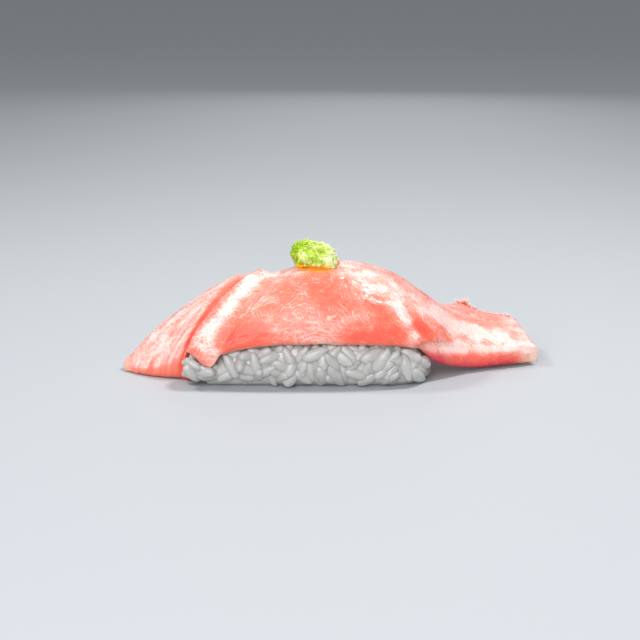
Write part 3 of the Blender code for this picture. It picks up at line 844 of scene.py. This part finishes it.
@dataclass
class RiceBlock:
    """The pressed block: a core shaped by the slice on it, and single grains all over the skin that shows."""

    finish: BoiledRice = BoiledRice()
    middle: float = -1.1
    length: float = 51.2
    width: float = 24.0
    height: float = 24.0
    axis_height: float = 6.0
    foot_depth: float = 7.6
    end_squareness: float = 6.0
    side_squareness: float = 3.0
    press_gap: float = 0.7
    press_along: Point = (-1.2, 0.0, 1.2)
    press_round: Point = (-0.12, 0.0, 0.12)
    core_swell: float = 0.85
    floor_gap: float = 0.05
    grain_length: float = 5.7
    grain_width: float = 2.7
    grain_thickness: float = 2.3
    spacing: float = 1.75
    tries: int = 12000
    clearance: float = 0.08
    lay_steps: int = 12
    lowering: float = 0.2
    shrinking: float = 0.975
    beyond_room: float = 0.3
    open_above: float = 2.5
    seed: int = 11
    spill_low: Point = (-24.8, -12.4, 2.6)
    spill_high: Point = (-20.5, -9.6, 7.4)
    spill_spacing: float = 1.6
    spill_tries: int = 700

    def reach(self, x: float, angle: float) -> float:
        """Returns how far the loose block's skin is from its axis at this place and angle."""
        end = max(1 - abs(2 * (x - self.middle) / self.length) ** self.end_squareness, 0.0)
        end **= 1 / self.end_squareness
        across, up = math.cos(angle), math.sin(angle)
        tall = self.height - self.axis_height if up > 0 else self.foot_depth
        side = self.side_squareness
        return end * (abs(across / (self.width / 2)) ** side + abs(up / tall) ** side) ** (-1 / side)

    def skin(self, x: float, angle: float, over: BVHTree, swell: float = 0.0) -> Vector:
        """Works out the core's skin, pressed in where the slice lies on it.

        Args:
            x: The place along the block.
            angle: The angle round its axis.
            over: The slice.
            swell: How much further out it is where nothing lies on it.

        Returns:
            The point, in millimetres.
        """
        reach = self.reach(x, angle) + swell
        for beside in self.press_along:
            for turned in self.press_round:
                way = Vector((0.0, math.cos(angle + turned), math.sin(angle + turned)))
                hit = over.ray_cast(Vector((x + beside, 0.0, self.axis_height)), way)[3]
                if hit is not None:
                    reach = min(reach, hit - self.press_gap)
        height = max(self.axis_height + reach * math.sin(angle), self.floor_gap)
        return Vector((x, reach * math.cos(angle), height))

    def core(self, over: BVHTree) -> bmesh.types.BMesh:
        """Returns the pressed core's mesh in millimetres, a sphere drawn out to the skin under the slice."""
        bm = bmesh.new()
        bmesh.ops.create_uvsphere(bm, u_segments=48, v_segments=60, radius=1)
        tone = bm.verts.layers.float.new("tone")
        for vert in bm.verts:
            # Painted light: the core takes the palest tone, to lift the shade in the gaps between the grains.
            vert[tone] = 1.0
            angle = math.atan2(vert.co.y, vert.co.x)
            point = self.skin(self.middle + vert.co.z * self.length / 2, angle, over, self.core_swell)
            vert.co = point + Vector((vert.co.z * self.core_swell, 0.0, 0.0))
        return bm

    def grain(self) -> bpy.types.Mesh:
        """Shapes one boiled grain: long, a little flat, thinner at one end, notched where its germ was."""
        bm = bmesh.new()
        bmesh.ops.create_uvsphere(bm, u_segments=12, v_segments=10, radius=1)
        for vert in bm.verts:
            x, y, z = vert.co
            taper = (1 - 0.12 * z) * max(1 - z * z, 0.02) ** -0.15
            notch = 0.25 * bell(z - 0.85, 0.25) * rise(x, 0.1, 0.6)
            vert.co = Vector((x * taper - notch + 0.10 * z * z, y * taper, z))
        return mesh_of("grain", bm)

    def build(self) -> None:
        """Makes the core, and lays the grains evenly over it, clear of the slice and of the surface below."""
        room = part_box(Piece.RICE.value)
        over = cad_tree(Piece.SLICE)
        rng = random.Random(self.seed)
        grain = self.grain()
        bm = bmesh.new()
        bm.verts.layers.float.new("tone")
        kept: list[Vector] = []
        step = 0.01
        for _ in range(self.tries):
            x = self.middle + math.sin(rng.uniform(-1, 1) * math.pi / 2) * (self.length / 2 - step)
            angle = rng.uniform(-math.pi, math.pi)
            spot = self.skin(x, angle, over)
            run = self.skin(x + step, angle, over) - self.skin(x - step, angle, over)
            across = self.skin(x, angle + step, over) - self.skin(x, angle - step, over)
            normal = across.cross(run).normalized()
            draws = [rng.uniform(-1, 1) for _ in range(8)]
            if normal.z < -0.7 or any((spot - other).length < self.spacing for other in kept):
                continue
            if over.ray_cast(spot, normal, self.open_above)[0] is not None:
                continue
            body = self.lay(grain, spot, normal, draws, over, room)
            if body is None:
                continue
            kept.append(spot)
            self.add(bm, grain, body, 0.4 + 0.4 * draws[7])
        for _ in range(self.spill_tries):
            spot = Vector([rng.uniform(low, high) for low, high in zip(self.spill_low, self.spill_high)])
            draws = [rng.uniform(-1, 1) for _ in range(8)]
            if any((spot - other).length < self.spill_spacing for other in kept):
                continue
            body = self.lay(grain, spot, Vector((0.0, -1.0, 0.0)), draws, over, room)
            if body is not None:
                kept.append(spot)
                self.add(bm, grain, body, 0.4 + 0.4 * draws[7])
        log.info("grains of rice: %d", len(kept))
        material = self.finish.material()
        finish_piece("rice_core", self.core(over), material, Piece.RICE)
        finish_piece("rice_grains", bm, material, Piece.RICE)

    def add(self, bm: bmesh.types.BMesh, grain: bpy.types.Mesh, body: Matrix, tone: float) -> None:
        """Adds one placed grain to the others, in a tone from 0 for dark to 1 for pale."""
        start = len(bm.verts)
        bm.from_mesh(grain)
        bm.verts.ensure_lookup_table()
        for vert in bm.verts[start:]:
            vert[bm.verts.layers.float["tone"]] = tone
            vert.co = body @ vert.co

    def lay(
        self, grain: bpy.types.Mesh, spot: Vector, normal: Vector, draws: list[float], over: BVHTree,
        room: tuple[Vector, Vector],
    ) -> Matrix | None:
        """Finds how one grain lies in the skin.

        Args:
            grain: The grain's mesh.
            spot: Where on the skin.
            normal: The skin's outward direction there.
            draws: The grain's own random numbers.
            over: The slice.
            room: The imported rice's lowest and highest corners, in metres.

        Returns:
            The grain's placing, or nothing where it doesn't fit.
        """
        side = normal.cross(Vector(draws[0:3])).normalized()
        tipped = (side + normal * 0.45 * draws[3]).normalized()
        other = normal.cross(tipped).normalized()
        turn = Matrix((other, tipped.cross(other), tipped)).transposed().to_4x4()
        size = 1 + 0.13 * draws[4]
        width = self.grain_width * (1 + 0.08 * draws[5])
        half = Vector((width, self.grain_thickness, self.grain_length)) * size / 2
        place = spot + normal * self.grain_thickness * size * (0.17 + 0.16 * draws[6])
        for _ in range(self.lay_steps):
            body = Matrix.Translation(place) @ turn @ Matrix.Diagonal(half).to_4x4()
            grown = Matrix.Translation(place) @ turn
            grown = grown @ Matrix.Diagonal(half + Vector([self.clearance] * 3)).to_4x4()
            points = [grown @ vert.co for vert in grain.vertices]
            low = min(point.z for point in points) + self.clearance
            if low < self.floor_gap:
                place = place + Vector((0.0, 0.0, self.floor_gap - low))
                continue
            faces = [tuple(face.vertices) for face in grain.polygons]
            front, rear = room[0].y / MM - self.beyond_room, room[1].y / MM + self.beyond_room
            inside = all(front < point.y < rear for point in points)
            if inside and not BVHTree.FromPolygons(points, faces).overlap(over):
                return body
            place = place - Vector((0.0, 0.0, self.lowering))
            half *= self.shrinking
        return None


def cad_tree(piece: Piece) -> BVHTree:
    """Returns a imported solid's surface in millimetres, for finding what touches it."""
    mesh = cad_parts[piece.value].data
    points = [vert.co / MM for vert in mesh.vertices]
    return BVHTree.FromPolygons(points, [tuple(face.vertices) for face in mesh.polygons])


@dataclass(frozen=True)
class GratedWasabi:
    """Freshly grated wasabi: a wet green paste of tiny shreds, palest where the shreds stand up."""

    deep: str = "94B414"
    middle: str = "B6CA4C"
    tip: str = "D6E0A6"
    # Painted reflected light: the golden tint of the paste's foot, where the fish's colour shows in it.
    base: str = "F3C428"
    grit_per_mm: float = 1.6

    def material(self) -> bpy.types.Material:
        """Builds the paste: green in the pits, pale on the shreds, and golden where it sits on the fish,
        which is painted reflected light from the fish.
        """
        values = {
            "Roughness": 0.35,
            "IOR": 1.38,
            "Subsurface Weight": 0.5,
            "Subsurface Radius": (0.8, 1.0, 0.25),
            "Subsurface Scale": 1.2 * MM,
            "Coat Weight": 0.15,
            "Coat Roughness": 0.2,
        }
        material, tree, shader = new_material("grated_wasabi", values)
        height = add_node(tree, "Attribute", "Fac", {"attribute_name": "height"})
        low = add_node(tree, "Attribute", "Fac", {"attribute_name": "low"})
        place = add_node(tree, "TexCoord", "Object")
        grit = add_node(tree, "TexNoise", "Fac", {}, {"Vector": place, "Scale": self.grit_per_mm / MM})
        level = add_node(tree, "Math", 0, ADD, {0: grit, 1: 0.5, 2: height})
        ramp = add_node(tree, "ValToRGB", "Color", {}, {"Fac": level})
        stops = ramp.node.color_ramp.elements
        stops[0].position, stops[0].color = 0.35, linear(self.deep)
        stops[1].position, stops[1].color = 1.0, linear(self.tip)
        stops.new(0.62).color = linear(self.middle)
        colour = add_node(tree, "Mix", "Result", MIX, {"Factor": low, "A": ramp, "B": linear(self.base)})
        tree.links.new(colour, shader.inputs["Base Color"])
        bump = add_node(tree, "Bump", "Normal", {}, {"Strength": 0.6, "Distance": 0.25 * MM, "Height": grit})
        tree.links.new(bump, shader.inputs["Normal"])
        return material


@dataclass
class WasabiDab:
    """The dab: a lumpy mound, upright on the left and domed on the right, rough with grated shreds."""

    finish: GratedWasabi = GratedWasabi()
    at: Step = (1.5, -0.6)
    half: Point = (5.2, 4.2, 3.5)
    squareness: float = 2.1
    lean: float = 0.27
    lump: float = 1.1
    lump_size: float = 2.6
    crumb: float = 0.5
    crumb_size: float = 1.2
    fine: tuple[Step, ...] = ((0.17, 0.8), (0.05, 0.35))
    lift: float = 0.7
    gap: float = 0.15
    shreds: int = 130
    shred_length: Step = (0.35, 0.8)
    shred_thickness: Step = (0.13, 0.26)
    seed: int = 5

    def build(self) -> None:
        """Makes the mound, and strews its upper side with grated shreds."""
        under = cad_tree(Piece.SLICE)
        down = Vector((0.0, 0.0, -1.0))
        top = under.ray_cast(Vector((*self.at, 50.0)), down)[0].z
        centre = Vector((*self.at, top + self.lift))
        rng = random.Random(self.seed)
        bm = bmesh.new()
        bmesh.ops.create_icosphere(bm, subdivisions=6, radius=1)
        height = bm.verts.layers.float.new("height")
        low = bm.verts.layers.float.new("low")
        places: list[tuple[Vector, Vector, float]] = []
        for vert in bm.verts:
            way = vert.co.normalized()
            shape = sum(abs(part) ** self.squareness for part in way) ** (-1 / self.squareness)
            out = way * Vector(self.half) * shape
            lump = self.lump * noise.noise((centre + out) / self.lump_size)
            crumb = self.crumb * noise.noise((centre + out) / self.crumb_size)
            fine = sum(high * noise.noise((centre + out) / size) for high, size in self.fine)
            # The right side is painted paler, partly a painted sheen on its glossy dome, and the left deeper
            # green.
            pale = 0.4 * rise(out.x, 0.5, 4.0) - 0.4 * rise(-out.x, 0.5, 4.0)
            point = centre + out + way * (lump + crumb + fine)
            point.z -= self.lean * out.x
            ground = under.ray_cast(Vector((point.x, point.y, 50.0)), down)[0].z
            point.z = max(point.z, ground + self.gap)
            vert[height] = 0.36 + 0.5 * lump / self.lump + 0.3 * crumb / self.crumb + 1.1 * fine + pale
            # Painted reflected light: the foot, where it sits on the fish, is tinted golden, less so on the
            # right.
            vert[low] = (1 - rise(point.z - ground, 0.35, 1.3)) * (1 - 0.8 * rise(out.x, 1.5, 4.0))
            vert.co = point
            if point.z - ground > 0.8 and rng.random() < 0.1:
                places.append((point, way, vert[height]))
        material = self.finish.material()
        finish_piece("wasabi_mound", bm, material, Piece.WASABI)
        self.strew(rng.sample(places, self.shreds), rng, material)

    def strew(
        self, places: list[tuple[Vector, Vector, float]], rng: random.Random, material: bpy.types.Material
    ) -> None:
        """Lays a shred on each spot, by the way out of the mound there and the mound's height value."""
        bm = bmesh.new()
        height = bm.verts.layers.float.new("height")
        for spot, way, level in places:
            start = len(bm.verts)
            bmesh.ops.create_icosphere(bm, subdivisions=2, radius=1)
            bm.verts.ensure_lookup_table()
            long = rng.uniform(*self.shred_length)
            thin = rng.uniform(*self.shred_thickness)
            side = way.cross(Vector([rng.uniform(-1, 1) for _ in range(3)])).normalized()
            tipped = (side + way * rng.uniform(-0.2, 0.9)).normalized()
            turn = tipped.to_track_quat("Z", "Y").to_matrix().to_4x4()
            grow = Matrix.Diagonal((thin, thin, long, 1.0))
            body = Matrix.Translation(spot + way * thin * 0.4) @ turn @ grow
            bend = rng.uniform(-0.5, 0.5)
            for vert in bm.verts[start:]:
                vert[height] = level + 0.08 + 0.12 * rng.random()
                vert.co = body @ Vector((vert.co.x + bend * vert.co.z ** 2, vert.co.y, vert.co.z))
        bm.verts.layers.float.new("low")
        finish_piece("wasabi_shreds", bm, material, Piece.WASABI)


@dataclass(frozen=True)
class Lamp:
    """A soft studio lamp, in metres and watts."""

    name: str
    place: Point
    size: float
    power: float


@dataclass
class Studio:
    """The plain pale floor, the soft lamps and the camera."""

    floor_colour: str = "AEB2B6"
    floor_half: float = 3.0
    sky_colour: str = "E6EAED"
    world_strength: float = 0.42
    lamps: tuple[Lamp, ...] = (
        Lamp("key_left", (-0.24, 0.04, 0.32), 0.07, 0.6),
        Lamp("overhead", (0.17, 0.03, 0.37), 0.07, 1.15),
        Lamp("behind", (0.04, 0.45, 0.22), 0.4, 0.28),
        Lamp("fill_front", (-0.08, -0.38, 0.21), 0.4, 1.7),
    )
    lamps_aim: Point = (0.0, 0.0, 0.012)
    target: Point = (0.0024, 0.0, 0.0115)
    distance: float = 0.328
    elevation: float = 15.0
    lens: float = 85.0
    sensor_width: float = 36.0

    def build(self) -> None:
        """Sets the floor, the lamps, the pale surroundings and the camera."""
        bm = bmesh.new()
        bmesh.ops.create_grid(bm, x_segments=2, y_segments=2, size=self.floor_half)
        mesh = mesh_of("floor", bm)
        values = {"Base Color": linear(self.floor_colour), "Roughness": 0.6}
        mesh.materials.append(new_material("pale_matte_paper", values)[0])
        floor = add_object("floor", mesh)
        bpy.context.scene.view_settings.view_transform = "Standard"
        world = bpy.data.worlds.new("studio")
        bpy.context.scene.world = world
        world.use_nodes = True
        sky = world.node_tree.nodes["Background"]
        sky.inputs["Color"].default_value = linear(self.sky_colour)
        sky.inputs["Strength"].default_value = self.world_strength
        aim = Vector(self.lamps_aim)
        for lamp in self.lamps:
            light = bpy.data.lights.new(lamp.name, "AREA")
            light.shape = "DISK"
            light.size = lamp.size
            light.energy = lamp.power
            holder = add_object(lamp.name, light)
            holder.location = lamp.place
            holder.rotation_euler = (aim - Vector(lamp.place)).to_track_quat("-Z", "Y").to_euler()
        angle = math.radians(self.elevation)
        camera = add_object("camera", bpy.data.cameras.new("camera"))
        camera.data.lens = self.lens
        camera.data.sensor_width = self.sensor_width
        back = Vector((0.0, -math.cos(angle), math.sin(angle)))
        camera.location = Vector(self.target) + back * self.distance
        camera.rotation_euler = (-back).to_track_quat("-Z", "Y").to_euler()
        bpy.context.scene.camera = camera


def main() -> None:
    """Builds the studio and the three dressed pieces."""
    logging.basicConfig(level=logging.INFO, format="%(name)s %(message)s")
    Studio().build()
    TunaSlice().build()
    RiceBlock().build()
    WasabiDab().build()


if __name__ == "__main__":
    main()
